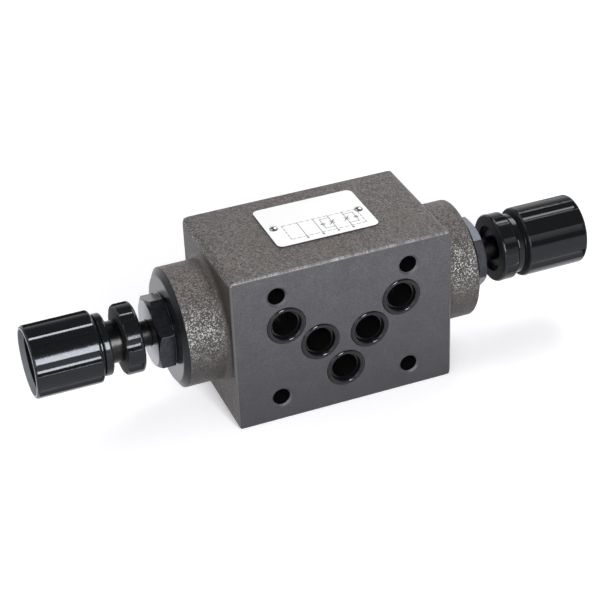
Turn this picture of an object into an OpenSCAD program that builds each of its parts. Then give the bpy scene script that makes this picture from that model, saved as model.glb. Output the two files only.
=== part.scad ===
// Hydraulic sandwich valve: a size 10 stackable double throttle and check valve.
// The cast block stands on its bottom face. X runs along the two cartridge bores, with side a at -X and
// side b at +X. Y runs along the stack, with the sealed port face at -Y. Z is up. Millimetres.

/* [Block] */
// Length of the cast block along the cartridge bores
block_l = 90.6; // [86:0.2:104]
// Thickness of the block between its two ground port faces
block_t = 55; // [54:1:64]
// Height of the block
block_h = 67; // [65:1:76]
// Radius of the cast edges
edge_r = 3; // [1:0.5:5]
// Chamfer around the ground port faces
face_chamfer = 0.8; // [0.3:0.1:1.2]

/* [Port pattern] */
// Distance between the stack bolt holes along the block
bolt_dx = 54; // [53:0.5:57]
// Distance between the stack bolt holes up the block
bolt_dz = 46; // [45:0.5:48]
// Diameter of the stack bolt holes
bolt_hole_d = 7; // [6:0.1:7.5]
// Chamfer at the mouths of the bolt holes
bolt_chamfer = 0.8; // [0.3:0.1:1.2]
// Diameter of the five ports
port_d = 10.5; // [9:0.5:11]
// Distance of the two tank ports from the middle of the pattern
tank_x = 23.8; // [23:0.1:25]
// Height of the two tank ports over the middle of the pattern
tank_z = 9.5; // [9:0.1:10.5]
// Distance of the two work ports from the middle of the pattern
work_x = 10.3; // [10:0.1:11]
// Drop of the two work ports under the middle of the pattern
work_drop = 1.6; // [1:0.1:2.5]
// Drop of the pressure port under the middle of the pattern
pressure_drop = 16.7; // [16.2:0.1:18]
// Diameter of the rubber cord of a port seal
seal_cord_d = 2; // [1.6:0.1:2.2]
// Height that a port seal stands proud of its face
seal_proud = 0.5; // [0.3:0.05:0.6]
// Width of the land between a port and its seal
seal_land = 0.75; // [0.6:0.05:0.9]

/* [Passages] */
// Depth of the blind drillings behind the tank ports
tank_depth = 14; // [12:0.5:15]
// Diameter of the cored passages that lead the tank lines over the cartridge bores
crossover_d = 8.8; // [7:0.2:9.6]
// Distance of those passages from the middle of the block
crossover_x = 14; // [12:0.5:15]
// Wall between those passages and the cartridge bores
crossover_wall = 3.5; // [3:0.1:4]
// Diameter of the slanted passages that join the tank ports to those passages
branch_d = 7.9; // [6:0.1:8.4]
// Depth of the blind drillings behind the work ports of the back face
back_work_depth = 12; // [10:0.5:13]
// Diameter of the slanted passages from those drillings to the check valves
side_passage_d = 7; // [5:0.5:7.5]

/* [Cartridge bores] */
// Height of the cartridge axis over the middle of the port pattern
axis_rise = 2.8; // [2:0.1:3.5]
// Diameter of the cast bosses
boss_d = 47.8; // [44:0.2:50]
// Length that a boss stands out of the block
boss_l = 16.9; // [14:0.1:22]
// Distance that both bosses sit off the middle of the block, towards side a
boss_shift = 1; // [0:0.1:1.5]
// Radius of the cast fillet at the root of a boss
boss_fillet = 2.4; // [1:0.1:4]
// Length of the turned chamfer at the end of a boss
boss_chamfer_l = 1.8; // [1:0.1:3]
// Width of that chamfer
boss_chamfer_w = 3; // [1.5:0.1:4]
// Half the thickness of the web between the two cartridge bores
web_half = 4; // [3:0.5:5]
// Length of the inner chamber that a work port opens into
chamber_l = 12.5; // [12:0.5:15]
// Diameter of the inner chamber
chamber_d = 16; // [14:0.5:17]
// Diameter of the bore that guides the check poppet
guide_d = 20; // [19:0.1:20.6]
// Diameter of the gland's thread
gland_thread_d = 22; // [21.4:0.1:24]
// Chamfer at the mouths of the threaded bores
mouth_chamfer = 0.5; // [0.3:0.1:0.8]

/* [Check valve] */
// Length of the seat ring
seat_l = 5.5; // [4.5:0.5:7]
// Diameter of the seat ring's hole
seat_hole_d = 11; // [10.4:0.2:12]
// Diameter of the slim body of the check poppet
poppet_d = 15; // [13:0.5:16]
// Length of that slim body, which the side passage meets
poppet_flow_l = 5.7; // [5:0.1:8]
// Length of the poppet's guide
poppet_guide_l = 7; // [6:0.5:9]
// Travel of the check poppet
poppet_travel = 2.5; // [1.5:0.1:3]
// Diameter of the throttle pin that runs in the poppet
pin_d = 6; // [5:0.1:6.6]
// Wall of the poppet's nose around the pin
nose_wall = 1.2; // [0.9:0.1:1.4]
// Wall of the poppet's slim body
poppet_wall = 2.3; // [1.8:0.1:2.6]
// Diameter of the poppet's cross holes
cross_hole_d = 3; // [2:0.2:3.4]
// Wire diameter of the poppet spring
spring_wire_d = 1.4; // [1:0.1:1.7]
// Number of turns of the poppet spring
spring_turns = 5; // [4:0.5:6]

/* [Gland] */
// Thickness of the rubber seal under a hexagon
face_seal_t = 0.7; // [0.5:0.1:3]
// Outer diameter of that seal
face_seal_d = 28.4; // [26:0.2:29]
// Width of the hexagon across its flats
hex_af = 26.5; // [26:0.5:30]
// Length of the hexagon
hex_l = 6.4; // [5:0.1:9]
// Step from the flats of the hexagon to the circle that its outer end is bevelled to
hex_bevel = 0.8; // [0.4:0.1:1.2]
// Length of the plain nose at the inner end of the gland
gland_nose_l = 2; // [1.5:0.1:3]
// Turn of the hexagon of side a
hex_angle_a = 51.5; // [0:0.5:60]
// Turn of the hexagon of side b
hex_angle_b = 40; // [0:0.5:60]

/* [Adjusting screw] */
// Diameter of the adjusting screw
screw_d = 10; // [9:0.1:10.4]
// Full travel of the adjusting screw
screw_stroke = 7; // [5:0.5:8]
// Distance that the screw of side a stands out from its inner limit
screw_out_a = 4.9; // [0:0.1:5]
// Distance that the screw of side b stands out from its inner limit
screw_out_b = 0.1; // [0:0.1:5]
// Diameter of the collar that stops the screw under the gland
collar_d = 12; // [11:0.2:12.6]
// Length of that collar
collar_l = 2.5; // [2:0.1:3.5]
// Cord diameter of the seal on the screw
screw_seal_d = 1.5; // [1.2:0.1:1.8]
// Distance of that seal's groove from the inner end of the gland, with the screw at its inner limit
screw_seal_inset = 2.5; // [1:0.1:4]
// Bevel at the outer end of the screw
screw_bevel = 0.8; // [0.4:0.1:1.2]

/* [Lock ring] */
// Distance from the hexagon to the lock ring of side a at rest
ring_gap_a = 5.1; // [1:0.1:8]
// Distance from the hexagon to the lock ring of side b at rest
ring_gap_b = 7.4; // [1:0.1:8]
// Diameter of the lock ring
ring_d = 28; // [26:0.2:29]
// Length of the lock ring
ring_l = 7; // [5.5:0.1:9]
// Thickness of the round flange at the inner end of the lock ring
ring_flange_l = 1.3; // [0.8:0.1:2]
// Diameter of the recess in the inner end of the lock ring
ring_recess_d = 19; // [18:0.2:20.4]
// Depth of that recess
ring_recess_depth = 2; // [1:0.1:3]
// Radius of the lock ring's outer edges
ring_edge_r = 1.1; // [0.4:0.1:1.2]
// Diameter of the metal bush in the lock ring
bush_d = 16.6; // [15:0.1:17]
// Length of the bush that stands out of the lock ring
bush_out_l = 7.5; // [5:0.1:8]
// Radius of the bush's outer edges
bush_edge_r = 0.5; // [0.3:0.1:0.8]
// Turn of the lock ring of side a at rest
ring_angle_a = 21; // [0:0.5:45]
// Turn of the lock ring of side b at rest
ring_angle_b = 11.5; // [0:0.5:45]

/* [Knob] */
// Diameter of the knobs
knob_d = 28.6; // [27:0.2:32]
// Length of the fluted part of a knob
knob_l = 26.4; // [24:0.2:34]
// Diameter of the lip at the inner end of a knob
lip_d = 24.6; // [23:0.2:26]
// Length of that lip with its groove
lip_l = 4.2; // [2.6:0.1:5]
// Length of that groove
lip_groove_l = 0.9; // [0.6:0.05:0.95]
// Depth of that groove
lip_groove_depth = 1; // [0.5:0.1:1.5]
// Radius of the lip's edges
lip_edge_r = 0.8; // [0.4:0.1:0.8]
// Radius of the knob's outer edges
knob_edge_r = 1; // [0.5:0.1:1.2]
// Number of flutes on a knob and on a lock ring
flutes = 8; // [6:1:9]
// Radius of a flute
flute_r = 3.6; // [3:0.1:4.5]
// Depth of a flute
flute_depth = 1; // [0.5:0.1:1.3]
// Width of the plain rims at both ends of the flutes
rim_l = 0.8; // [0.5:0.1:2.5]
// Depth of the dished end of a knob
dish_depth = 3; // [2:0.1:4]
// Wall around the mouth of the dish
dish_wall = 1.4; // [1.2:0.1:2.5]
// Draft of the dish from its mouth to its floor
dish_draft = 0.9; // [0.3:0.1:1.5]
// Distance from the floor of the dish to the end of the adjusting screw
knob_cap_l = 3; // [2:0.1:4]
// Diameter of the screw that holds a knob
set_screw_d = 4; // [3:0.5:5]
// Depth of that screw's head under the floor of its flute
set_screw_sunk = 1; // [0.5:0.1:2]
// Turn of the knob of side a at rest
knob_angle_a = 17; // [0:0.5:45]
// Turn of the knob of side b at rest
knob_angle_b = 17; // [0:0.5:45]

/* [Nameplate] */
// Length of the nameplate
plate_l = 42; // [36:0.5:48]
// Width of the nameplate
plate_w = 30; // [24:0.5:34]
// Thickness of the nameplate
plate_t = 0.5; // [0.3:0.1:0.8]
// Corner radius of the nameplate
plate_corner_r = 2.5; // [1:0.1:4]
// Offset of the nameplate along the block
plate_x = 1.5; // [-2:0.1:2]
// Offset of the nameplate towards the back
plate_y = 3.5; // [0:0.1:5]
// Offset of the rivets from the middle of the nameplate towards the back
rivet_y = -1.2; // [-3:0.1:3]
// Distance between the two rivets
rivet_dx = 35.6; // [32:0.2:36]
// Diameter of a rivet's head
rivet_head_d = 3.4; // [2.6:0.1:4]
// Height of a rivet's head
rivet_head_h = 0.85; // [0.5:0.05:1.2]
// Diameter of a rivet's shank
rivet_d = 2; // [1.5:0.1:2.2]
// Length of a rivet's shank in the block
rivet_l = 4; // [3:0.1:5]

/* [Clearances] */
// Radial gap of a running fit
run_gap = 0.05; // [0.02:0.01:0.1]
// Radial gap of a tight fit
tight_gap = 0.02; // [0.01:0.01:0.05]
// Axial gap between faces that move past or towards each other
face_gap = 0.3; // [0.2:0.05:0.5]
// Radial gap between a knob's skirt and the bush that enters it
skirt_gap = 0.5; // [0.3:0.1:0.7]
// Radial gap around the nose of a gland
nose_gap = 0.5; // [0.3:0.1:0.7]
// Radial gap between a spring and its bore
spring_gap = 1.2; // [0.8:0.1:1.6]
// Axial gap between a lifted poppet and the collar of its screw
lift_gap = 0.7; // [0.5:0.1:1.5]

/* [Hidden] */
$fn = 64;
A = -1;
B = 1;
SIDES = [A, B];
// A cut runs this far past the face that it opens
past = 1;

// Places on the block
pattern_z = block_h / 2;
axis_z = pattern_z + axis_rise;
front = -block_t / 2;
back = block_t / 2;
pressure_port = [0, pattern_z - pressure_drop];
seal_seat_d = port_d + 2 * seal_land + 2 * seal_cord_d;
seal_seat_depth = seal_cord_d - seal_proud;

// Stations along a cartridge bore, measured outwards from the middle of the block
seat_s = web_half + chamber_l;
seat_end = seat_s + seat_l;
nose_d = pin_d + 2 * nose_wall;
nose_s = seat_end + face_gap - (seat_hole_d - nose_d) / 2;
cone_end = seat_end + face_gap + (poppet_d - seat_hole_d) / 2;
flow_s = cone_end + poppet_flow_l / 2;
guide_s = cone_end + poppet_flow_l;
poppet_end = guide_s + poppet_guide_l;
collar_s = poppet_end + poppet_travel + lift_gap;
gland_s = collar_s + collar_l + screw_stroke + face_gap;

// Sizes along the inside of the pieces
boss_fillet_r = min(boss_fillet, (block_t - boss_d) / 2 - face_chamfer - face_gap);
gland_nose_d = guide_d - 2 * nose_gap;
thread_relief_s = gland_s + gland_nose_l - face_gap;
poppet_bore_d = poppet_d - 2 * poppet_wall;
spring_r = (guide_d - spring_wire_d) / 2 - spring_gap;
screw_seal_s = gland_s + screw_seal_inset;
screw_seal_r = (screw_d - screw_seal_d) / 2 - tight_gap;
screw_groove_l = screw_seal_d + face_gap;
screw_neck_d = 2 * screw_seal_r - screw_seal_d - 2 * run_gap;
skirt_depth = bush_out_l + face_gap;
crossover_z = axis_z + guide_d / 2 + crossover_wall + crossover_d / 2;

// Screw travel of a side at rest, measured from its inner limit
function out(side) = side == A ? screw_out_a : screw_out_b;

// Stations outside the block, which differ between the sides
function boss_end(side) = block_l / 2 + boss_l - side * boss_shift;
function hex_s(side) = boss_end(side) + face_seal_t;
function hex_end(side) = hex_s(side) + hex_l;
function ring_s(side) = hex_end(side) + (side == A ? ring_gap_a : ring_gap_b);
function ring_end(side) = ring_s(side) + ring_l;
function knob_s(side) = ring_end(side) + face_gap + out(side);
function knob_end(side) = knob_s(side) + lip_l + knob_l;
function screw_end(side) = knob_end(side) - dish_depth - knob_cap_l;
function set_screw_s(side) = knob_s(side) + skirt_depth + 2 * set_screw_d;

// Turn of a knob's flutes at rest, and of the flute that its screw sits in, out of sight from the front
function knob_turn(side) = side == A ? knob_angle_a : knob_angle_b;
function set_screw_turn(side) = knob_turn(side) + (side == A ? 360 / flutes * floor(flutes / 2) : 0);

// Points of an arc around c, from angle from to angle to
function arc(c, r, from, to, steps = 6) =
    [for (i = [0 : steps]) let (a = from + (to - from) * i / steps) c + r * [cos(a), sin(a)]];

// Outline of a rectangle from its middle, with round corners
function round_outline(l, w, r) = concat(
    arc([l / 2 - r, w / 2 - r], r, 0, 90), arc([r - l / 2, w / 2 - r], r, 90, 180),
    arc([r - l / 2, r - w / 2], r, 180, 270), arc([l / 2 - r, r - w / 2], r, 270, 360));

// Outline of a rectangle from its middle, with cut corners
function cut_outline(l, w, c) = [
    [l / 2, w / 2 - c], [l / 2 - c, w / 2], [c - l / 2, w / 2], [-l / 2, w / 2 - c],
    [-l / 2, c - w / 2], [c - l / 2, -w / 2], [l / 2 - c, -w / 2], [l / 2, c - w / 2]];

// Points of a wire swept along a coil, one ring of points for each step
function coil_points(r, wire_r, length, turns, steps, sides) = [
    for (i = [0 : steps]) let (a = 360 * turns * i / steps, h = length * i / steps)
        for (j = [0 : sides - 1]) let (b = 360 * j / sides, reach = r + wire_r * cos(b))
            [reach * cos(a), reach * sin(a), h + wire_r * sin(b)]];

// Faces of that wire, with its two flat ends
function coil_faces(steps, sides) = concat(
    [[for (j = [sides - 1 : -1 : 0]) j]],
    [for (i = [0 : steps - 1]) for (j = [0 : sides - 1]) let (k = (j + 1) % sides, n = i * sides)
        each [[n + j, n + k, n + sides + k], [n + j, n + sides + k, n + sides + j]]],
    [[for (j = [0 : sides - 1]) steps * sides + j]]);

// Puts a piece that is drawn along +Z onto the cartridge axis of a side
module on_axis(side) {
    translate([0, 0, axis_z]) rotate([0, 90 * side, 0]) children();
}

// A rod between two stations of the axis
module rod(from, to, d) {
    translate([0, 0, from]) cylinder(h = to - from, d = d);
}

// A cone between two stations of the axis
module cone(from, to, d1, d2) {
    translate([0, 0, from]) cylinder(h = to - from, d1 = d1, d2 = d2);
}

// A disc between two stations, with its outer edges rounded
module round_disc(from, to, d, r) {
    rotate_extrude() polygon(concat(
        [[0, from]], arc([d / 2 - r, from + r], r, -90, 0), arc([d / 2 - r, to - r], r, 0, 90), [[0, to]]));
}

// A drilling into the block along +Y from the front, or along -Y from the back
module drilling(x, z, y, depth, d) {
    translate([x, y, z]) rotate([y < 0 ? -90 : 90, 0, 0]) rod(-past, depth, d);
}

// A passage between two points in the block
module passage(from, to, d) {
    run = to - from;
    length = norm(run);
    translate(from) rotate([0, acos(run.z / length), atan2(run.y, run.x)]) cylinder(h = length, d = d);
}

// Grooves along a round piece, as cutters
module flute_cutters(from, to, d, angle) {
    for (i = [0 : flutes - 1])
        rotate(angle + 360 * i / flutes) translate([d / 2 - flute_depth + flute_r, 0, 0])
            rod(from, to, 2 * flute_r);
}

// The plain block, with round cast edges along Y and chamfers around its ground faces
module block() {
    intersection() {
        translate([0, back, pattern_z]) rotate([90, 0, 0])
            linear_extrude(block_t) polygon(round_outline(block_l, block_h, edge_r));
        linear_extrude(block_h) polygon(cut_outline(block_l, block_t, face_chamfer));
        translate([-block_l / 2, 0, pattern_z]) rotate([90, 0, 90])
            linear_extrude(block_l) polygon(cut_outline(block_t, block_h, face_chamfer));
    }
}

// A cast boss with its root fillet and its turned end chamfer
module boss(side) {
    root = block_l / 2;
    end = boss_end(side);
    r = boss_d / 2;
    rotate_extrude() polygon(concat(
        [[0, root - past], [r + boss_fillet_r, root - past]],
        arc([r + boss_fillet_r, root + boss_fillet_r], boss_fillet_r, 270, 180),
        [[r, end - boss_chamfer_l], [r - boss_chamfer_w, end], [0, end]]));
}

// The stepped bore of one cartridge
module cartridge_bore(side) {
    end = boss_end(side);
    thread_d = gland_thread_d + 2 * run_gap;
    rod(web_half, seat_s + past, chamber_d);
    rod(seat_s, thread_relief_s + past, guide_d);
    rod(thread_relief_s, end + past, thread_d);
    cone(end - mouth_chamfer, end, thread_d, thread_d + 2 * mouth_chamfer);
}

// The tank line of one side: blind drillings from both faces, joined over the cartridge bore
module tank_line(side) {
    tank = [side * tank_x, 0, pattern_z + tank_z];
    bend = [side * crossover_x, 0, crossover_z];
    inset = [0, tank_depth - crossover_d / 2, 0];
    for (y = [front, back]) {
        inward = y < 0 ? inset : -inset;
        drilling(tank.x, tank.z, y, tank_depth, port_d);
        passage(tank + [0, y, 0] + inward, bend + [0, y, 0] + inward, branch_d);
    }
    translate([bend.x, front + tank_depth - crossover_d, bend.z]) rotate([-90, 0, 0])
        cylinder(h = block_t - 2 * (tank_depth - crossover_d), d = crossover_d);
}

// The work line of one side: the front port meets the inner chamber, the back port the check valve's side
module work_line(side) {
    z = pattern_z - work_drop;
    drilling(side * work_x, z, front, block_t / 2, port_d);
    drilling(side * work_x, z, back, back_work_depth, port_d);
    passage([side * work_x, back - back_work_depth + side_passage_d / 2, z],
        [side * flow_s, 0, axis_z], side_passage_d);
}

// Seats of the port seals in the front face
module port_seats() {
    for (port = port_places()) drilling(port.x, port.y, front, seal_seat_depth, seal_seat_d);
}

// Places of the five ports as [x, z]: P, A, B, T, T1
function port_places() = [
    pressure_port, [A * work_x, pattern_z - work_drop], [B * work_x, pattern_z - work_drop],
    [A * tank_x, pattern_z + tank_z], [B * tank_x, pattern_z + tank_z]];

module bolt_holes() {
    for (x = [-bolt_dx / 2, bolt_dx / 2]) for (z = [-bolt_dz / 2, bolt_dz / 2])
        translate([x, front, pattern_z + z]) rotate([-90, 0, 0]) {
            rod(-past, block_t + past, bolt_hole_d);
            cone(0, bolt_chamfer, bolt_hole_d + 2 * bolt_chamfer, bolt_hole_d);
            cone(block_t - bolt_chamfer, block_t, bolt_hole_d, bolt_hole_d + 2 * bolt_chamfer);
        }
}

// Puts a piece at each of the two rivets, on the top face
module at_rivets() {
    for (x = [-rivet_dx / 2, rivet_dx / 2]) translate([plate_x + x, plate_y + rivet_y, block_h]) children();
}

module valve_body() {
    color("dimgray") difference() {
        union() {
            block();
            for (side = SIDES) on_axis(side) boss(side);
        }
        for (side = SIDES) {
            on_axis(side) cartridge_bore(side);
            tank_line(side);
            work_line(side);
        }
        drilling(pressure_port.x, pressure_port.y, front, block_t + past, port_d);
        port_seats();
        bolt_holes();
        at_rivets() rod(-rivet_l - face_gap, past, rivet_d + 2 * tight_gap);
    }
}

// A thin plate with round corners and two rivet holes
module nameplate() {
    color("white") difference() {
        translate([plate_x, plate_y, block_h])
            linear_extrude(plate_t) polygon(round_outline(plate_l, plate_w, plate_corner_r));
        at_rivets() rod(-past, plate_t + past, rivet_d + 2 * tight_gap);
    }
}

// Two drive rivets with domed heads
module nameplate_rivets() {
    color("silver") at_rivets() {
        rod(-rivet_l, plate_t + rivet_head_h / 2, rivet_d);
        rotate_extrude() polygon(concat(
            [[0, plate_t], [rivet_head_d / 2, plate_t]],
            [for (a = [15 : 15 : 90]) [rivet_head_d / 2 * cos(a), plate_t + rivet_head_h * sin(a)]]));
    }
}

// A rubber ring in its seat around a port
module port_seal(place) {
    color("black") translate([place.x, front - seal_proud + seal_cord_d / 2, place.y]) rotate([90, 0, 0])
        rotate_extrude() translate([port_d / 2 + seal_land + seal_cord_d / 2 - tight_gap, 0])
            circle(d = seal_cord_d - 2 * tight_gap);
}

// A hard seat pressed against the shoulder of the guide bore
module seat_ring(side) {
    color("slategray") on_axis(side) difference() {
        rod(seat_s, seat_end, guide_d - 2 * tight_gap);
        rod(seat_s - past, seat_end + past, seat_hole_d);
    }
}

// A hollow poppet: a cone that closes on the seat, cross holes, and a guide that the spring bears on
module check_poppet(side) {
    color("lightsteelblue") on_axis(side) difference() {
        union() {
            cone(nose_s, cone_end, nose_d, poppet_d);
            rod(cone_end, guide_s, poppet_d);
            rod(guide_s, poppet_end, guide_d - 2 * run_gap);
        }
        rod(nose_s - past, poppet_end + past, pin_d + 2 * run_gap);
        rod(cone_end, poppet_end + past, poppet_bore_d);
        for (a = [0, 90]) translate([0, 0, flow_s]) rotate([90, 0, a])
            cylinder(h = guide_d, d = cross_hole_d, center = true);
    }
}

// A coil spring between the poppet and the gland
module poppet_spring(side) {
    rest = spring_wire_d / 2 + 2 * run_gap;
    steps = floor(spring_turns * 16);
    sides = 8;
    color("gray") on_axis(side) translate([0, 0, poppet_end + rest]) polyhedron(
        coil_points(spring_r, spring_wire_d / 2, gland_s - poppet_end - 2 * rest, spring_turns, steps, sides),
        coil_faces(steps, sides));
}

// The screwed end plug, with its hexagon bevelled at the outer end
module gland(side) {
    corner_d = hex_af / cos(30);
    bevel_d = hex_af - hex_bevel;
    bevel_l = (corner_d - bevel_d) / 4 + past / 2;
    bore_d = screw_d + 2 * run_gap;
    from = hex_s(side);
    to = hex_end(side);
    color("darkslategray") on_axis(side) difference() {
        union() {
            rod(gland_s, gland_s + gland_nose_l, gland_nose_d);
            rod(gland_s + gland_nose_l, from + hex_l / 2, gland_thread_d);
            intersection() {
                rotate(side == A ? hex_angle_a : hex_angle_b) translate([0, 0, from])
                    cylinder(h = hex_l, d = corner_d, $fn = 6);
                rotate_extrude() polygon([
                    [0, from - past], [corner_d / 2 + past, from - past],
                    [corner_d / 2 + past, to - bevel_l], [bevel_d / 2, to], [0, to]]);
            }
        }
        rod(gland_s - past, to + past, bore_d);
        cone(to - mouth_chamfer, to, bore_d, bore_d + 2 * mouth_chamfer);
    }
}

// A rubber ring between the hexagon and the end of the boss, with a rounded rim
module gland_seal(side) {
    from = boss_end(side);
    to = hex_s(side);
    color("black") on_axis(side) difference() {
        round_disc(from, to, face_seal_d, face_seal_t / 4);
        rod(from - past, to + past, gland_thread_d + 2 * run_gap);
    }
}

// The screw: throttle pin with its tapered flat, stop collar, seal groove and long thread
module adjusting_screw(side) {
    t = out(side);
    tip = nose_s + face_gap + t;
    flat_l = cone_end - nose_s + screw_stroke;
    groove_s = screw_seal_s + t;
    end = screw_end(side);
    color("black") on_axis(side) difference() {
        union() {
            rod(tip, collar_s + t + past, pin_d);
            rod(collar_s + t, collar_s + t + collar_l, collar_d);
            rod(collar_s + t + collar_l, end - screw_bevel, screw_d);
            cone(end - screw_bevel, end, screw_d, screw_d - 2 * screw_bevel);
        }
        translate([0, 0, tip]) rotate([0, atan2(pin_d / 2, flat_l), 0])
            translate([0, -pin_d, -flat_l]) cube([pin_d, 2 * pin_d, 2 * flat_l]);
        difference() {
            rod(groove_s, groove_s + screw_groove_l, screw_d + past);
            rod(groove_s - past, groove_s + screw_groove_l + past, screw_neck_d);
        }
    }
}

// A rubber ring in the groove of the screw
module screw_seal(side) {
    color("black") on_axis(side) translate([0, 0, screw_seal_s + out(side) + screw_groove_l / 2])
        rotate_extrude() translate([screw_seal_r, 0]) circle(d = screw_seal_d);
}

// The metal bush of the lock ring, which enters the knob's skirt
module lock_bush(side) {
    inner = ring_s(side) + ring_recess_depth;
    outer = ring_end(side) + bush_out_l;
    color("gray") on_axis(side) difference() {
        round_disc(inner, outer, bush_d, bush_edge_r);
        rod(inner - past, outer + past, screw_d + 2 * run_gap);
    }
}

// The fluted lock ring, with a round flange and a recess at its inner end
module lock_ring(side) {
    from = ring_s(side);
    to = ring_end(side);
    color("black") on_axis(side) difference() {
        round_disc(from, to, ring_d, ring_edge_r);
        flute_cutters(from + ring_flange_l, to + past, ring_d, side == A ? ring_angle_a : ring_angle_b);
        rod(from - past, from + ring_recess_depth, ring_recess_d);
        rod(from, to + past, bush_d + 2 * run_gap);
    }
}

// The fluted knob, with a dished end, and a lip and a skirt at its inner end
module knob(side) {
    inner = knob_s(side);
    land = inner + lip_l;
    end = knob_end(side);
    mouth_d = knob_d - 2 * dish_wall;
    slope = 2 * dish_draft / dish_depth;
    color("black") on_axis(side) difference() {
        union() {
            round_disc(inner, land - lip_groove_l, lip_d, lip_edge_r);
            rod(land - lip_groove_l - past, land + past, lip_d - 2 * lip_groove_depth);
            round_disc(land, end, knob_d, knob_edge_r);
        }
        flute_cutters(land + rim_l, end - rim_l, knob_d, knob_turn(side));
        cone(end - dish_depth, end + past, mouth_d - 2 * dish_draft, mouth_d + slope * past);
        rod(inner - past, inner + skirt_depth, bush_d + 2 * skirt_gap);
        rod(inner, screw_end(side) + face_gap, screw_d + 2 * tight_gap);
        rotate(set_screw_turn(side)) translate([0, 0, set_screw_s(side)]) rotate([0, 90, 0])
            cylinder(h = knob_d, d = set_screw_d + 2 * tight_gap);
    }
}

// The socket screw that holds a knob on its adjusting screw, sunk in a flute
module knob_set_screw(side) {
    inner = screw_d / 2 + tight_gap;
    outer = knob_d / 2 - flute_depth - set_screw_sunk;
    color("dimgray") on_axis(side) rotate(set_screw_turn(side))
        translate([0, 0, set_screw_s(side)]) rotate([0, 90, 0]) difference() {
            rod(inner, outer, set_screw_d);
            translate([0, 0, outer - set_screw_d / 2])
                cylinder(h = set_screw_d, d = set_screw_d / 2, $fn = 6);
        }
}

valve_body();
nameplate();
nameplate_rivets();
port_seal(port_places()[0]);  // port_seal_p
port_seal(port_places()[1]);  // port_seal_a
port_seal(port_places()[2]);  // port_seal_b
port_seal(port_places()[3]);  // port_seal_t
port_seal(port_places()[4]);  // port_seal_t1
seat_ring(A);  // seat_ring_a
seat_ring(B);  // seat_ring_b
check_poppet(A);  // check_poppet_a
check_poppet(B);  // check_poppet_b
poppet_spring(A);  // poppet_spring_a
poppet_spring(B);  // poppet_spring_b
gland(A);  // gland_a
gland(B);  // gland_b
gland_seal(A);  // gland_seal_a
gland_seal(B);  // gland_seal_b
adjusting_screw(A);  // adjusting_screw_a
adjusting_screw(B);  // adjusting_screw_b
screw_seal(A);  // screw_seal_a
screw_seal(B);  // screw_seal_b
lock_bush(A);  // lock_bush_a
lock_bush(B);  // lock_bush_b
lock_ring(A);  // lock_ring_a
lock_ring(B);  // lock_ring_b
knob(A);  // knob_a
knob(B);  // knob_b
knob_set_screw(A);  // knob_set_screw_a
knob_set_screw(B);  // knob_set_screw_b
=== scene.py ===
"""Looks of a hydraulic sandwich valve: finishes, stand-in springs, nameplate print, floor, light and camera.

Lengths are metres in the frame's axes: X along the knobs, Y through the stack and Z up.
"""

import math
from types import SimpleNamespace

import bmesh
import bpy
from mathutils import Matrix, Vector

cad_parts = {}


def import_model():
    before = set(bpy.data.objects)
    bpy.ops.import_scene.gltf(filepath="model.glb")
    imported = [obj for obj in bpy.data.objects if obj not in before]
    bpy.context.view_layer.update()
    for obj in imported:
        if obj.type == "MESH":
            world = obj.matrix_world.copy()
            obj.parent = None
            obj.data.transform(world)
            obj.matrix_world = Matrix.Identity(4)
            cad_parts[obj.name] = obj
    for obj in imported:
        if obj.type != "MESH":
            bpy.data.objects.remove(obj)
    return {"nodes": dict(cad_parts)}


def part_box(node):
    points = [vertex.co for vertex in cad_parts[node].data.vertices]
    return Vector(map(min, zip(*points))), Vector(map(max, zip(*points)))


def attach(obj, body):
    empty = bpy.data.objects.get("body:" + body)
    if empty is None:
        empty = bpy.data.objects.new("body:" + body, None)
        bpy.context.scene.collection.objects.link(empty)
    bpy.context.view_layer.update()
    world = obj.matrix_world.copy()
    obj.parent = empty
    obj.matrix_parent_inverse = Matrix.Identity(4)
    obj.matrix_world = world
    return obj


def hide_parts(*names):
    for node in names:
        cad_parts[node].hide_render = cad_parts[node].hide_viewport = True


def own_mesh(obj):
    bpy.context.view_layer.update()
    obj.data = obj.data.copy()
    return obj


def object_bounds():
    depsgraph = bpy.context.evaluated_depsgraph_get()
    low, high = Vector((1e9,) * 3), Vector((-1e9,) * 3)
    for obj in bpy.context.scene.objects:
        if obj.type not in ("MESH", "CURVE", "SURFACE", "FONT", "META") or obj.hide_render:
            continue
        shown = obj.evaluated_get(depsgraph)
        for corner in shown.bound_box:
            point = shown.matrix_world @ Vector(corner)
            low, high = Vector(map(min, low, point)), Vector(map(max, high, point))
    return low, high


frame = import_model()
cad_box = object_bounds()
NODES = frame["nodes"]
MM = 0.001

# Places taken from the frame
BODY_LOW, BODY_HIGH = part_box("valve_body")
PLATE_LOW, PLATE_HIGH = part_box("nameplate")
KNOB_LOW, KNOB_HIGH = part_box("knob_a")
HEX_END_A, HEX_END_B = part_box("gland_a")[0].x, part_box("gland_b")[1].x
FACE_Y = BODY_HIGH.y
BLOCK_TOP = BODY_HIGH.z
AXIS_Z = (KNOB_LOW.z + KNOB_HIGH.z) / 2
KNOB_R = (KNOB_HIGH.z - KNOB_LOW.z) / 2
KNOB_END_A, KNOB_END_B = KNOB_LOW.x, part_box("knob_b")[1].x
PLATE_MIDDLE = (PLATE_LOW + PLATE_HIGH) / 2

# Sizes of the pieces that the finishes and the springs follow
BLOCK_HALF = 45.3 * MM
BOSS_CHAMFER = 1.8 * MM
FACE_CHAMFER = 0.8 * MM
EDGE_R = 3 * MM
DISH_WALL = 1.4 * MM
DISH_DEPTH = 3 * MM
DISH_MOUTH = 2.1 * MM
SLACK = 0.05 * MM

# Radii of softened edges, and how far painted shade and grime reach from the root of a boss
CAST_EDGE_R = 0.9 * MM
STEEL_EDGE_R = 0.25 * MM
MOULDED_EDGE_R = 0.35 * MM
SHADE_AND_GRIME_REACH = 5 * MM


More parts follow.
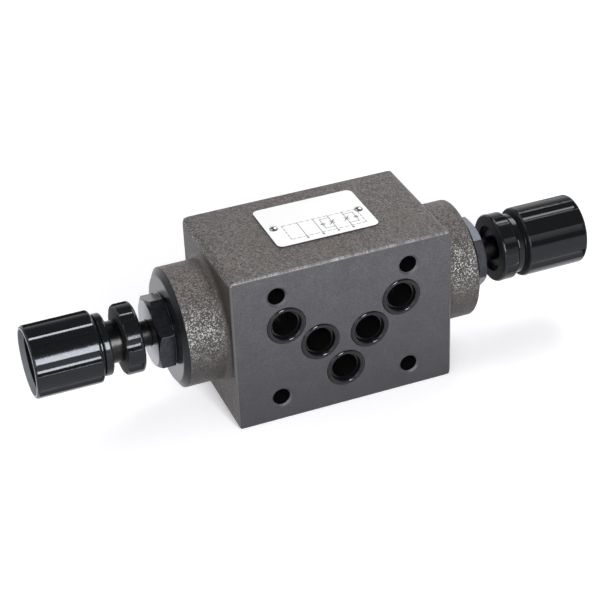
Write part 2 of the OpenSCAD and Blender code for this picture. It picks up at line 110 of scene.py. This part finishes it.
class Graph:
    """The nodes of a material or a world, with short calls that add nodes and join them."""

    # First input, second input and output of a mix, for each kind of value
    MIX_SOCKETS = {"FLOAT": (2, 3, 0), "VECTOR": (4, 5, 1), "RGBA": (6, 7, 2)}

    def __init__(self, owner, shader="Principled BSDF"):
        owner.use_nodes = True
        self.owner = owner
        self.tree = owner.node_tree
        self.shader = self.tree.nodes[shader]
        self.coordinates = self.node("TexCoord").outputs
        self.place = self.coordinates["Object"]

    def node(self, kind, inputs=None, **settings):
        made = self.tree.nodes.new("ShaderNode" + kind)
        for key, value in settings.items():
            setattr(made, key, value)
        for key, value in (inputs or {}).items():
            self.put(made.inputs[key], value)
        return made

    def put(self, socket, value):
        if isinstance(value, bpy.types.NodeSocket):
            self.tree.links.new(value, socket)
        else:
            socket.default_value = value

    def set(self, **values):
        """Sets inputs of the shader, with _ for a space in their names."""
        for key, value in values.items():
            self.put(self.shader.inputs[key.replace("_", " ")], value)

    def math(self, operation, a, b=0.0):
        return self.node("Math", {0: a, 1: b}, operation=operation).outputs[0]

    def parts(self, vector):
        """The X, Y and Z of a vector."""
        return self.node("SeparateXYZ", {0: vector}).outputs

    def noise(self, size, detail=3.0, rough=0.55, stretch=None, place=None):
        """Noise with grains of about that size, in metres."""
        place = place or self.place
        if stretch:
            place = self.node("Mapping", {"Vector": place, "Scale": stretch}).outputs[0]
        inputs = {"Vector": place, "Scale": 1 / size, "Detail": detail, "Roughness": rough}
        return self.node("TexNoise", inputs).outputs["Fac"]

    def cells(self, size):
        """A random value for each grain of about that size, in metres."""
        made = self.node("TexVoronoi", {"Vector": self.place, "Scale": 1 / size})
        return self.node("SeparateColor", {0: made.outputs["Color"]}).outputs[0]

    def ramp(self, value, low, high, to_low=0.0, to_high=1.0):
        inputs = {"Value": value, "From Min": low, "From Max": high, "To Min": to_low, "To Max": to_high}
        return self.node("MapRange", inputs).outputs["Result"]

    def mix(self, share, first, second, kind="RGBA"):
        """A mix of two colours, or of two values of another kind."""
        first_input, second_input, output = self.MIX_SOCKETS[kind]
        made = self.node("Mix", {0: share, first_input: first, second_input: second}, data_type=kind)
        return made.outputs[output]

    def blend(self, share, first, second):
        """A mix of two numbers."""
        return self.mix(share, first, second, "FLOAT")

    def bump(self, height, depth, strength=1.0, normal=None):
        """A bump of that depth, in metres, over another one if it is given."""
        inputs = {"Height": height, "Distance": depth, "Strength": strength}
        if normal:
            inputs["Normal"] = normal
        return self.node("Bump", inputs).outputs["Normal"]

    def soft_edges(self, radius):
        """Normals that round the edges of a piece by that radius, in metres."""
        return self.node("Bevel", {"Radius": radius}, samples=6).outputs["Normal"]

    def facing(self, axis):
        """How far a face looks along X, Y or Z, from -1 to 1."""
        return self.parts(self.coordinates["Normal"])[axis]

    def background(self):
        """1 for the rays that show the background: to the camera, in reflections and through glass."""
        rays = self.node("LightPath").outputs
        reflected = self.either(rays["Is Camera Ray"], rays["Is Glossy Ray"])
        return self.either(reflected, rays["Is Transmission Ray"])

    def above(self, value, level):
        return self.math("GREATER_THAN", value, level)

    def below(self, value, level):
        return self.math("LESS_THAN", value, level)

    def both(self, a, b):
        return self.math("MULTIPLY", a, b)

    def either(self, a, b):
        return self.math("MAXIMUM", a, b)


def material(name):
    return Graph(bpy.data.materials.new(name))


def grey(value, cast=(1, 1, 1)):
    """A grey as a linear colour, with a cast of colour."""
    return (*[value * c for c in cast], 1)


# Casts of colour that a grey can take
IRON = (1.16, 0.97, 0.91)
RUST = (1.24, 1.00, 0.86)
SLATE = (0.99, 0.97, 1.07)
COOL = (0.94, 0.99, 1.08)
BLUE = (0.92, 0.97, 1.13)
LILAC = (0.96, 0.94, 1.00)

# Tones of the casting's skin, on its sides and on its top: the sides are dark as painted shade and the top is
# light as painted light
SHADED_SIDE_DARK, SHADED_SIDE_LIGHT = grey(0.007, IRON), grey(0.038, IRON)
LIT_TOP_DARK, LIT_TOP_LIGHT = grey(0.020, IRON), grey(0.135, IRON)
PIT = grey(0.02, IRON)
STAIN = grey(0.05, RUST)
# Painted shade in the fillet at each boss's root, together with grime
ROOT_SHADE_AND_GRIME = grey(0.03, RUST)
# Bright metal of the flecks, shown only in a painted band of glints
FLECK_GLINT = grey(0.31)

# Tones of the casting's machined faces
GROUND_DARK, GROUND_LIGHT = grey(0.077, SLATE), grey(0.112, SLATE)
# Ground faces are painted darker towards the bottom as shade
GROUND_SHADED_LOW = grey(0.048, SLATE)
GROUND_PIT = grey(0.045, SLATE)
CUT_EDGE = grey(0.11)
# Bright tones of the top edge's chamfer: milled strokes painted light as a highlight
BARE_LIT_DARK, BARE_LIT_LIGHT = grey(0.18), grey(0.42)
# The boss chamfer is kept dark as a painted dark reflection; the end face has a tone of its own
BOSS_EDGE_DARK_REFLECTION, BOSS_FACE = grey(0.025, COOL), grey(0.09, COOL)
PORT_MOUTH = grey(0.09, SLATE)
# Near-black bores: painted shade in the holes
PORT_BORE_SHADE = grey(0.012)

# Tones of the mouldings and the rubber
BLACK, DUSTY = grey(0.006, COOL), grey(0.025, COOL)
# Pale dish wall as a painted reflection, and pale lip as a painted highlight
DISH_SHEEN, LIP_HIGHLIGHT = grey(0.3, COOL), grey(0.5, COOL)
RUBBER_DARK, RUBBER_LIGHT = grey(0.004, COOL), grey(0.012, COOL)
# Cool tint on reflections, standing in for cool light
COOL_LIGHT_TINT = grey(1.0, COOL)


def casting_zones(g):
    """Masks of the casting: ground faces and their edges, port mouths, bores, boss ends and boss roots."""
    x, y, z = g.parts(g.place)
    far_x, far_y = g.math("ABSOLUTE", x), g.math("ABSOLUTE", y)
    from_middle = g.math("ABSOLUTE", g.math("SUBTRACT", z, BLOCK_TOP / 2))
    to_end = g.math("MINIMUM", g.math("SUBTRACT", BODY_HIGH.x, x), g.math("SUBTRACT", x, BODY_LOW.x))
    inner = g.both(g.below(far_x, BLOCK_HALF - EDGE_R), g.below(from_middle, BLOCK_TOP / 2 - EDGE_R))
    ground = g.above(far_y, FACE_Y - SLACK)
    edge = g.above(far_y, FACE_Y - FACE_CHAMFER - SLACK)
    bore = g.both(inner, g.below(far_y, FACE_Y - FACE_CHAMFER - SLACK))
    turned = g.below(to_end, BOSS_CHAMFER + SLACK)
    # Darkening at the root of each boss: painted shade in the fillet, together with grime
    shade_and_grime_falloff = g.ramp(far_x, BLOCK_HALF, BLOCK_HALF + SHADE_AND_GRIME_REACH, 0.75, 0.0)
    return SimpleNamespace(
        inner=inner,
        ground=ground,
        edge=edge,
        mouth=g.both(inner, g.math("SUBTRACT", edge, ground)),
        bore=bore,
        turned=turned,
        face=g.below(to_end, SLACK),
        lip=g.above(z, BLOCK_TOP - 2 * FACE_CHAMFER),
        # Share of painted shade on the ground faces, darker towards the bottom
        low=g.ramp(z, 0.0, BLOCK_TOP, 0.75, 0.0),
        root=g.both(g.above(far_x, BLOCK_HALF - SLACK), shade_and_grime_falloff),
        machined=g.either(g.either(edge, turned), bore),
    )


def casting_skin(g, zones, grain, speck):
    """Colour of the sandy skin, and the mask of its bright flecks, which are painted as glints only where the
    light falls.
    """
    stains = g.noise(16 * MM, detail=4.0)
    tilt = g.facing(2)
    upward = g.ramp(tilt, 0.55, 0.95)
    # Flecks show on faces that look level or a little down, and thinly on top faces: a painted band of glints
    # where the light falls
    lit = g.both(g.ramp(tilt, -0.35, 0.2, 0.08, 1.0), g.ramp(upward, 0.0, 1.0, 1.0, 0.45))
    flecks = g.both(lit, g.ramp(speck, 0.7, 0.78))
    # Sides take the dark tones as painted shade, and upward faces take the light tones as painted light
    sides = g.mix(g.ramp(grain, 0.4, 0.6), SHADED_SIDE_DARK, SHADED_SIDE_LIGHT)
    skin = g.mix(upward, sides, g.mix(g.ramp(grain, 0.41, 0.59), LIT_TOP_DARK, LIT_TOP_LIGHT))
    skin = g.mix(g.ramp(speck, 0.3, 0.2, 0.0, 0.7), skin, PIT)
    skin = g.mix(g.ramp(stains, 0.42, 0.7, 0.0, 0.6), skin, STAIN)
    skin = g.mix(g.math("MULTIPLY", flecks, 0.85), skin, FLECK_GLINT)
    # The root of each boss is darkened with painted shade and grime
    return g.mix(zones.root, skin, ROOT_SHADE_AND_GRIME), flecks


def casting_colour(g, zones, skin, mottle, speck):
    """The skin, with the colours of the machined faces over it."""
    ground = g.mix(g.ramp(mottle, 0.3, 0.7), GROUND_DARK, GROUND_LIGHT)
    # Painted shade: darker towards the bottom
    ground = g.mix(zones.low, ground, GROUND_SHADED_LOW)
    ground = g.mix(g.ramp(speck, 0.0, 1.0, 0.0, 0.7), ground, GROUND_PIT)
    # The top edge's chamfer is painted bright in patches, a painted highlight over milled strokes; other
    # chamfers keep the cut edge's tone
    strokes = g.noise(0.9 * MM, detail=1.0, stretch=(1, 0.1, 0.1))
    patchy_sheen = g.ramp(g.noise(14 * MM, detail=2.0), 0.38, 0.62, 0.35, 1.0)
    bare_lit = g.mix(g.ramp(strokes, 0.4, 0.6), BARE_LIT_DARK, BARE_LIT_LIGHT)
    colour = g.mix(zones.edge, skin, g.mix(g.both(zones.lip, patchy_sheen), CUT_EDGE, bare_lit))
    colour = g.mix(zones.ground, colour, ground)
    # Boss chamfers take the dark tone of a painted reflection
    colour = g.mix(zones.turned, colour, g.mix(zones.face, BOSS_EDGE_DARK_REFLECTION, BOSS_FACE))
    colour = g.mix(zones.mouth, colour, PORT_MOUTH)
    # Bores take the near-black tone of painted shade
    return g.mix(zones.bore, colour, PORT_BORE_SHADE)


def cast_iron():
    """Bare casting: sandy skin, ground port faces, turned boss ends, and bores painted dark as shade."""
    g = material("cast_iron")
    zones = casting_zones(g)
    rough_cast = g.math("SUBTRACT", 1.0, zones.machined)
    grain = g.noise(0.9 * MM, rough=0.7)
    fine = g.noise(0.4 * MM, detail=2.0)
    lumps = g.noise(5 * MM)
    mottle = g.noise(5 * MM, detail=5.0, rough=0.65)
    lines = g.noise(0.35 * MM, detail=2.0, stretch=(0.08, 1, 1))
    speck = g.cells(0.36 * MM)
    skin, flecks = casting_skin(g, zones, grain, speck)

    sand = g.ramp(fine, 0.3, 0.7, 0.32, 0.62)
    roughness = g.blend(zones.machined, sand, g.ramp(mottle, 0.3, 0.7, 0.4, 0.52))
    roughness = g.blend(g.both(flecks, rough_cast), roughness, 0.3)
    roughness = g.blend(zones.turned, roughness, g.blend(zones.face, 0.32, 0.3))
    metal = g.blend(zones.machined, g.math("MULTIPLY", flecks, 0.95), 0.55)

    plain = g.node("NewGeometry").outputs["Normal"]
    soft = g.mix(zones.inner, g.soft_edges(CAST_EDGE_R), plain, "VECTOR")
    height = g.math("ADD", grain, g.math("MULTIPLY", lumps, 1.2))
    sandy = g.bump(height, 0.5 * MM, rough_cast, soft)
    g.set(
        Base_Color=casting_colour(g, zones, skin, mottle, speck),
        Roughness=g.blend(zones.bore, roughness, 0.16),
        Metallic=g.blend(zones.turned, metal, 1.0),
        Normal=g.bump(lines, 0.012 * MM, zones.machined, sandy),
        Specular_IOR_Level=0.5,
    )
    return g.owner


def steel(name, low, high, roughness, end=None):
    """Turned steel: two tones with fine rings around the X axis, and an end face of its own colour."""
    g = material(name)
    x = g.parts(g.place)[0]
    rings = g.noise(0.25 * MM, detail=2.0, place=g.node("CombineXYZ", {0: x}).outputs[0])
    cloud = g.noise(1.5 * MM, detail=4.0)
    flat = g.above(g.math("ABSOLUTE", g.facing(0)), 0.9)
    flat_roughness = 0.28 if end else 0.55
    colour = g.mix(g.ramp(cloud, 0.3, 0.7), low, high)
    if end:
        at_end = g.either(g.below(x, HEX_END_A + SLACK), g.above(x, HEX_END_B - SLACK))
        colour = g.mix(at_end, colour, end)
    g.set(
        Base_Color=colour,
        Roughness=g.blend(flat, g.ramp(cloud, 0.3, 0.7, roughness, roughness + 0.06), flat_roughness),
        Normal=g.bump(rings, 0.008 * MM, normal=g.soft_edges(STEEL_EDGE_R)),
        Metallic=1.0,
    )
    return g.owner


def plastic():
    """Glossy black moulding with a faint waviness and a little dust, a matt dish whose wall near the mouth is
    pale as a painted reflection, and a lip that is pale as a painted highlight.
    """
    g = material("black_plastic")
    x, y, z = g.parts(g.place)
    up = g.math("SUBTRACT", z, AXIS_Z)
    reach = g.math("SQRT", g.math("ADD", g.math("MULTIPLY", y, y), g.math("MULTIPLY", up, up)))
    from_end = g.math("MINIMUM", g.math("SUBTRACT", x, KNOB_END_A), g.math("SUBTRACT", KNOB_END_B, x))
    mouth = g.both(g.below(reach, KNOB_R - DISH_WALL + SLACK), g.below(from_end, DISH_MOUTH))
    depth = g.both(g.below(reach, KNOB_R - DISH_WALL), g.below(from_end, DISH_DEPTH + SLACK))
    lip = g.below(from_end, SLACK)
    matt = g.either(depth, g.above(g.math("ABSOLUTE", g.facing(0)), 0.9))
    dust = g.noise(0.6 * MM, detail=4.0, rough=0.7)
    wave = g.noise(6 * MM, detail=2.0)
    black = g.mix(g.ramp(dust, 0.6, 0.85), BLACK, DUSTY)
    roughness = g.blend(matt, g.ramp(dust, 0.35, 0.8, 0.1, 0.25), 0.65)
    g.set(
        # Painted reflection on the dish wall near its mouth, and painted highlight on the lip
        Base_Color=g.mix(lip, g.mix(mouth, black, DISH_SHEEN), LIP_HIGHLIGHT),
        Roughness=g.blend(g.either(mouth, lip), roughness, 0.3),
        Normal=g.bump(wave, 0.06 * MM, normal=g.soft_edges(MOULDED_EDGE_R)),
        Specular_IOR_Level=g.blend(depth, 0.26, 0.04),
        # Reflections carry a painted cool tint of light
        Specular_Tint=COOL_LIGHT_TINT,
    )
    return g.owner


def rubber():
    """Smooth black rubber with an oil film."""
    g = material("rubber")
    cloud = g.noise(1.2 * MM)
    g.set(
        Base_Color=g.mix(cloud, RUBBER_DARK, RUBBER_LIGHT),
        Roughness=g.ramp(cloud, 0.3, 0.7, 0.05, 0.11),
        Normal=g.bump(cloud, 0.01 * MM),
        Specular_IOR_Level=0.28,
        # Reflections carry a painted cool tint of light
        Specular_Tint=COOL_LIGHT_TINT,
    )
    return g.owner


def sheet_metal(name, tone, roughness, metallic, edge):
    """Satin sheet, with its sides in a dark tone of their own as painted shade."""
    g = material(name)
    grain = g.noise(0.3 * MM, detail=2.0, stretch=(0.05, 1, 1))
    face = g.mix(g.ramp(grain, 0.3, 0.7), grey(tone * 0.97), grey(tone))
    g.set(
        # Faces that don't look up take the dark tone as painted shade
        Base_Color=g.mix(g.below(g.facing(2), 0.3), face, grey(edge)),
        Roughness=g.ramp(grain, 0.3, 0.7, roughness, roughness + 0.1),
        Normal=g.bump(grain, 0.004 * MM),
        Metallic=metallic,
    )
    return g.owner


def ink():
    """Worn grey print."""
    g = material("plate_ink")
    g.set(Base_Color=g.mix(g.noise(0.5 * MM), grey(0.12), grey(0.3)), Roughness=0.6)
    return g.owner


def dress(finish, *names):
    """Gives CAD nodes a finish; a name without its side stands for both sides."""
    for name in names:
        for node in [n for n in NODES if n in (name, name + "_a", name + "_b")]:
            slots = NODES[node].data.materials
            slots.clear()
            slots.append(finish)


def paint_nodes():
    # The dark tone on the sides of the plate and the rivets is painted shade
    plate = sheet_metal("plate_face", tone=0.93, roughness=0.35, metallic=0.1, edge=0.03)
    rivet = sheet_metal("rivet_face", tone=0.4, roughness=0.12, metallic=1.0, edge=0.1)
    black = steel("black_steel", grey(0.038, BLUE), grey(0.060, BLUE), 0.28, end=grey(0.28, COOL))
    dress(cast_iron(), "valve_body")
    dress(plate, "nameplate")
    dress(rivet, "nameplate_rivets")
    dress(rubber(), *[n for n in NODES if n.startswith("port_seal")], "gland_seal", "screw_seal")
    dress(black, "gland")
    dress(steel("oiled_steel", grey(0.012), grey(0.024), 0.35), "adjusting_screw", "knob_set_screw")
    dress(steel("dark_steel", grey(0.015), grey(0.03), 0.25), "lock_bush")
    dress(steel("steel", grey(0.3), grey(0.45), 0.22), "seat_ring", "check_poppet", "poppet_spring")
    dress(plastic(), "knob", "lock_ring")


def pressed_springs():
    """Springs that stand for the frame's, as copies with meshes of their own that go with the valve body."""
    for side in ("a", "b"):
        node = "poppet_spring_" + side
        piece = bpy.data.objects.new("pressed_spring_" + side, NODES[node].data.copy())
        bpy.context.collection.objects.link(piece)
        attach(piece, "valve")
        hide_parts(node)
        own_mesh(piece)


# Circuit symbol on the front half of the nameplate, in mm from its middle: u along X, v towards the back
INK_W = 0.28
INK_TOP = 0.03
ENVELOPE = ((-14.3, -0.6), (16.8, -11.3))
DASH, DASH_GAP = 1.5, 0.9
LINES_U = (-8.0, -1.5, 4.7, 10.8)
LINE_BACK, LINE_FRONT = -0.3, -12.6
DOT_R = 0.5
DOT_SIDES = 20

LOOP_V = (-2.2, -9.2)
LOOP_W = 3.9
BALL_R = 0.6
BALL_STEM = 0.7
SEAT_TIP = 1.1
SEAT_W, SEAT_MOUTH = 1.0, 0.1
WAIST_W, FLARE_W, FLARE_H = 0.4, 0.7, 1.2
SLASH_W, SLASH_H = 1.4, 1.6


def stroke(mesh, start, end):
    """A thin bar of print between two points of the nameplate."""
    a, b = Vector(start), Vector(end)
    middle = (a + b) / 2
    angle = math.atan2(b.y - a.y, b.x - a.x)
    size = Matrix.Diagonal(((b - a).length + INK_W, INK_W, 2 * INK_TOP, 1))
    place = Matrix.Translation((*middle, 0)) @ Matrix.Rotation(angle, 4, "Z")
    bmesh.ops.create_cube(mesh, matrix=place @ size)


def dashes(mesh, start, end):
    """A dashed line between two points."""
    a, b = Vector(start), Vector(end)
    run = (b - a).normalized()
    length = (b - a).length
    count = max(1, round((length + DASH_GAP) / (DASH + DASH_GAP)))
    pitch = (length + DASH_GAP) / count
    for i in range(count):
        stroke(mesh, a + run * pitch * i, a + run * (pitch * (i + 1) - DASH_GAP))


def dot(mesh, place, radius):
    """A round spot of print."""
    bmesh.ops.create_cone(
        mesh,
        cap_ends=True,
        segments=DOT_SIDES,
        radius1=radius,
        radius2=radius,
        depth=2 * INK_TOP,
        matrix=Matrix.Translation((*place, 0)),
    )


def throttle_and_check(mesh, line_u, side):
    """A throttle on a line, with a check valve in a loop on one side of it."""
    back, front = LOOP_V
    middle = (back + front) / 2
    far_u = line_u + side * LOOP_W
    seat = (far_u, middle - SEAT_TIP)
    stroke(mesh, (line_u, back), (far_u, back))
    stroke(mesh, (line_u, front), (far_u, front))
    stroke(mesh, (far_u, back), (far_u, middle + BALL_STEM))
    stroke(mesh, (far_u, front), seat)
    dot(mesh, (far_u, middle), BALL_R)
    for wing in (-1, 1):
        waist = (line_u + wing * WAIST_W, middle)
        stroke(mesh, seat, (far_u + wing * SEAT_W, middle - SEAT_MOUTH))
        stroke(mesh, (line_u + wing * FLARE_W, middle + FLARE_H), waist)
        stroke(mesh, (line_u + wing * FLARE_W, middle - FLARE_H), waist)
    stroke(mesh, (line_u - SLASH_W, middle - SLASH_H), (line_u + SLASH_W, middle + SLASH_H))


def plate_symbol():
    """The printed symbol: a dashed frame, four lines, and a throttle and check on two of them."""
    mesh = bmesh.new()
    (left, back), (right, front) = ENVELOPE
    corners = ((left, back), (right, back), (right, front), (left, front))
    for start, end in zip(corners, corners[1:] + corners[:1]):
        dashes(mesh, start, end)
    for u in LINES_U:
        stroke(mesh, (u, LINE_BACK), (u, LINE_FRONT))
        dot(mesh, (u, LINE_FRONT), DOT_R)
    throttle_and_check(mesh, LINES_U[2], -1)
    throttle_and_check(mesh, LINES_U[3], 1)
    data = bpy.data.meshes.new("plate_symbol")
    mesh.to_mesh(data)
    mesh.free()
    place = Matrix.Translation((PLATE_MIDDLE.x, PLATE_MIDDLE.y, PLATE_HIGH.z))
    data.transform(place @ Matrix.Scale(MM, 4))
    data.materials.append(ink())
    piece = bpy.data.objects.new("plate_symbol", data)
    bpy.context.collection.objects.link(piece)
    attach(piece, "valve")


# Camera, in metres, degrees and mm
CAMERA_PLACE = (-0.21408, -0.55101, 0.41180)
CAMERA_TURN = (57.276, 2.122, -21.905)
LENS_MM = 106.14
SENSOR_MM = 36
CLIP_START = 0.01

# Lamps: name, place, width and height, and watts
LAMP_TARGET = (0, 0, 0.04)
LAMPS = (
    ("key", (0.02, -0.75, 0.36), (0.17, 0.36), 6.0),
    ("top", (0.44, 0.44, 0.78), (0.42, 0.42), 3.9),
    ("left", (-0.8, 0.25, 0.9), (1.2, 1.2), 5.6),
    ("side", (-0.55, -0.68, 0.4), (0.45, 0.45), 2.4),
)

# Floor: its size, its tone as a light and as a background, and its glow near the object and far away
FLOOR_SIZE = 12
FLOOR_LIT, FLOOR_SEEN = grey(0.3), grey(0.85)
GLOW_NEAR, GLOW_FAR = 0.4, 1.4
GLOW_LOW, GLOW_HIGH = 0.38, 1.0

# World: the strength of the room's light and of the wall, and the heights between which the wall fades
ROOM_LIGHT = 0.15
WALL_LIGHT = 0.85
WALL_FADE = (0.3, 0.55)


def lamp(name, place, size, watts):
    """A soft rectangular lamp that looks at the object."""
    light = bpy.data.lights.new(name, "AREA")
    light.shape = "RECTANGLE"
    light.size, light.size_y = size
    light.energy = watts
    made = bpy.data.objects.new(name, light)
    made.location = place
    made.rotation_euler = (Vector(LAMP_TARGET) - Vector(place)).to_track_quat("-Z", "Y").to_euler()
    bpy.context.collection.objects.link(made)


def pale_floor():
    """A wide pale floor that keeps the shadow and glows to white as a background."""
    bpy.ops.mesh.primitive_plane_add(size=FLOOR_SIZE, location=(0, 0, cad_box[0].z))
    floor = bpy.context.object
    floor.name = "floor"
    g = material("floor")
    seen = g.background()
    away = g.node("VectorMath", {0: g.place}, operation="LENGTH").outputs["Value"]
    g.set(
        Base_Color=g.mix(seen, FLOOR_LIT, FLOOR_SEEN),
        Roughness=0.9,
        Specular_IOR_Level=0.0,
        Emission_Color=grey(1.0, LILAC),
        Emission_Strength=g.both(seen, g.ramp(away, GLOW_NEAR, GLOW_FAR, GLOW_LOW, GLOW_HIGH)),
    )
    floor.data.materials.append(g.owner)


def world():
    """A grey room as a light, with a white wall that fades upwards as a background."""
    made = bpy.data.worlds.new("studio")
    g = Graph(made, "Background")
    height = g.parts(g.coordinates["Generated"])[2]
    wall = g.both(g.background(), g.ramp(height, *WALL_FADE, WALL_LIGHT, 0.0))
    g.set(Color=grey(1.0), Strength=g.math("ADD", ROOM_LIGHT, wall))
    bpy.context.scene.world = made


def camera():
    """A camera at the angle of the photograph."""
    view = bpy.data.cameras.new("camera")
    view.lens = LENS_MM
    view.sensor_width = SENSOR_MM
    view.clip_start = CLIP_START
    made = bpy.data.objects.new("camera", view)
    made.location = CAMERA_PLACE
    made.rotation_euler = [math.radians(a) for a in CAMERA_TURN]
    bpy.context.collection.objects.link(made)
    bpy.context.scene.camera = made
    bpy.context.scene.view_settings.view_transform = "Standard"


paint_nodes()
pressed_springs()
plate_symbol()
world()
pale_floor()
for settings in LAMPS:
    lamp(*settings)
camera()
